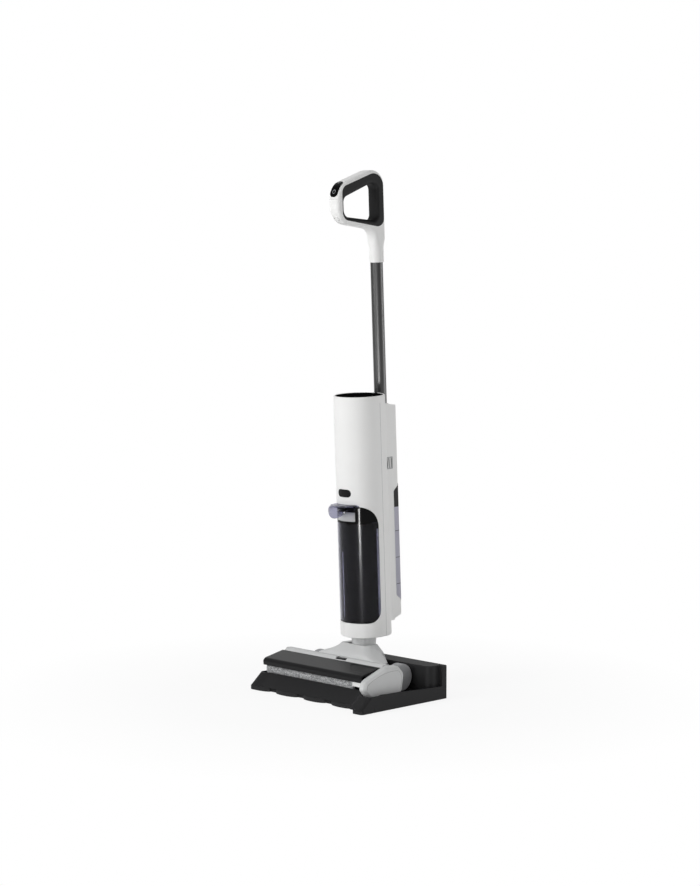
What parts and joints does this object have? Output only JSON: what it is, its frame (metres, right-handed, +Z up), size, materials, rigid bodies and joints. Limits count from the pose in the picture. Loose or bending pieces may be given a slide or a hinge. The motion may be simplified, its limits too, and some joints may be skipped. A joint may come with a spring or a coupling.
{
  "type": "wet dry floor scrubber",
  "caption": "Upright cordless wet and dry floor washer with a loop handle, removable water tanks and a brush roller, standing in its charging dock.",
  "frame": {"origin": "under the middle of the machine's width and of the dock's depth, at the level of the floor, 2 mm below the dock's bottom plate", "axes": "+Z up, the front with the roller faces -Y, the drive end is at +X"},
  "size_m": [0.363, 0.2749, 1.0992],
  "materials": {
    "dock_dark": "fine-grained matt",
    "rubber_black": "matt",
    "screw_steel": "brushed",
    "tray_grey": "satin",
    "cover_charcoal": "satin gloss",
    "board_green": "satin",
    "contact_gold": "polished",
    "socket_black": "satin",
    "head_grey": "satin",
    "bracket_white": "gloss",
    "wheel_grey": "matt",
    "roller_fibre": "plush",
    "core_plastic": "satin",
    "motor_steel": "satin",
    "shell_white": "satin gloss",
    "frame_white": "satin",
    "lens_black": "gloss",
    "cell_blue": "satin",
    "pump_black": "satin",
    "filter_white": "pleated",
    "rod_black": "black anodised, satin",
    "key_white": "satin",
    "tank_smoke": "clear, smoke tinted",
    "lid_grey": "satin",
    "tank_clear": "clear, smoke tinted"
  },
  "bodies": {
    "dock": {"dock_base": "dock_dark", "dock_bottom_plate": "dock_dark", "dock_feet": "rubber_black", "dock_screws": "screw_steel", "dock_wash_tray": "tray_grey", "dock_tower": "dock_dark", "dock_circuit_board": "board_green", "dock_contact_pins": "contact_gold", "dock_power_inlet": "socket_black"},
    "head": {"head_housing": "head_grey", "head_chassis": "tray_grey", "drive_end_cap": "head_grey", "suction_duct": "tray_grey", "head_contacts": "contact_gold", "roller_motor": "motor_steel", "water_bar": "tray_grey", "scraper_blade": "rubber_black", "roller_bracket": "bracket_white", "wheel_axles": "screw_steel", "hinge_pins": "screw_steel", "drive_belt": "rubber_black"},
    "roller": {"roller_sleeve": "roller_fibre", "roller_core": "core_plastic", "roller_end_plug": "tray_grey", "roller_pulley": "core_plastic"},
    "motor_shaft": {"motor_pulley": "core_plastic"},
    "roller_cover": {"roller_cover": "cover_charcoal"},
    "cover_latch": {"cover_latch": "cover_charcoal"},
    "wheel_left": {"wheel_left": "wheel_grey"},
    "wheel_right": {"wheel_right": "wheel_grey"},
    "neck": {"neck_joint": "head_grey", "neck_hose": "rubber_black"},
    "upright": {"front_shell": "shell_white", "rear_shell": "shell_white", "inner_frame": "frame_white", "vent_grilles": "shell_white", "display_lens": "lens_black", "display_board": "board_green", "battery_pack": "cell_blue", "suction_motor": "motor_steel", "main_board": "board_green", "exhaust_filter": "filter_white", "water_pump": "pump_black", "rod": "rod_black", "handle_shell": "shell_white", "handle_grip": "socket_black", "control_pad": "lens_black"},
    "tank_release_button": {"tank_release_button": "socket_black"},
    "power_button": {"power_button": "lens_black"},
    "mode_button": {"mode_button": "lens_black"},
    "self_clean_button": {"self_clean_button": "key_white"},
    "dirty_tank": {"dirty_tank": "tank_smoke", "tank_lid": "lid_grey", "tank_grip": "tank_smoke", "tank_inlet_tube": "lid_grey", "tank_filter": "filter_white"},
    "tank_float": {"tank_float": "socket_black"},
    "clean_tank": {"clean_tank": "tank_clear", "clean_tank_cap": "socket_black", "clean_tank_valve": "socket_black"}
  },
  "joints": [
    {"name": "head_lift_off", "type": "slide", "parent": "dock", "child": "head", "axis": [0, 0, 1], "range_m": [0, 0.12]},
    {"name": "roller_spin", "type": "hinge", "parent": "head", "child": "roller", "pos_m": [0, -0.035, 0.042], "axis": [1, 0, 0], "continuous": true},
    {"name": "motor_spin", "type": "hinge", "parent": "head", "child": "motor_shaft", "pos_m": [0, 0.008, 0.058], "axis": [1, 0, 0], "continuous": true},
    {"name": "roller_cover_lift", "type": "slide", "parent": "head", "child": "roller_cover", "axis": [0, 0, 1], "range_m": [0, 0.06]},
    {"name": "cover_latch_slide", "type": "slide", "parent": "head", "child": "cover_latch", "axis": [0, 1, 0], "range_m": [0, 0.003], "stiffness_N_per_m": 300},
    {"name": "wheel_left_spin", "type": "hinge", "parent": "head", "child": "wheel_left", "pos_m": [0, 0.053, 0.0473], "axis": [1, 0, 0], "continuous": true},
    {"name": "wheel_right_spin", "type": "hinge", "parent": "head", "child": "wheel_right", "pos_m": [0, 0.053, 0.0473], "axis": [1, 0, 0], "continuous": true},
    {"name": "recline", "type": "hinge", "parent": "head", "child": "neck", "pos_m": [0, 0.0668, 0.0837], "axis": [-1, 0, 0], "range_deg": [0, 45]},
    {"name": "swivel", "type": "hinge", "parent": "neck", "child": "upright", "pos_m": [0, 0.06481, 0.13116], "axis": [0, -0.0427, 0.9991], "range_deg": [-60, 60]},
    {"name": "tank_release_press", "type": "slide", "parent": "upright", "child": "tank_release_button", "axis": [0, 0.9991, 0.0427], "range_m": [0, 0.0025], "stiffness_N_per_m": 400},
    {"name": "power_press", "type": "slide", "parent": "upright", "child": "power_button", "axis": [0, 0.9301, -0.3673], "range_m": [0, 0.0008], "stiffness_N_per_m": 300},
    {"name": "mode_press", "type": "slide", "parent": "upright", "child": "mode_button", "axis": [0, 0.5512, -0.8344], "range_m": [0, 0.0008], "stiffness_N_per_m": 300},
    {"name": "self_clean_press", "type": "slide", "parent": "upright", "child": "self_clean_button", "axis": [0, 0.726, 0.6877], "range_m": [0, 0.0008], "stiffness_N_per_m": 300},
    {"name": "dirty_tank_pull", "type": "slide", "parent": "upright", "child": "dirty_tank", "axis": [0, -0.9991, -0.0427], "range_m": [0, 0.11]},
    {"name": "float_rise", "type": "slide", "parent": "dirty_tank", "child": "tank_float", "axis": [0, -0.0427, 0.9991], "range_m": [0, 0.02]},
    {"name": "clean_tank_pull", "type": "slide", "parent": "upright", "child": "clean_tank", "axis": [0, 0.9991, 0.0427], "range_m": [0, 0.09]}
  ],
  "couplings": [
    {"joint": "motor_spin", "follows": "roller_spin", "ratio": 2.0833}
  ]
}
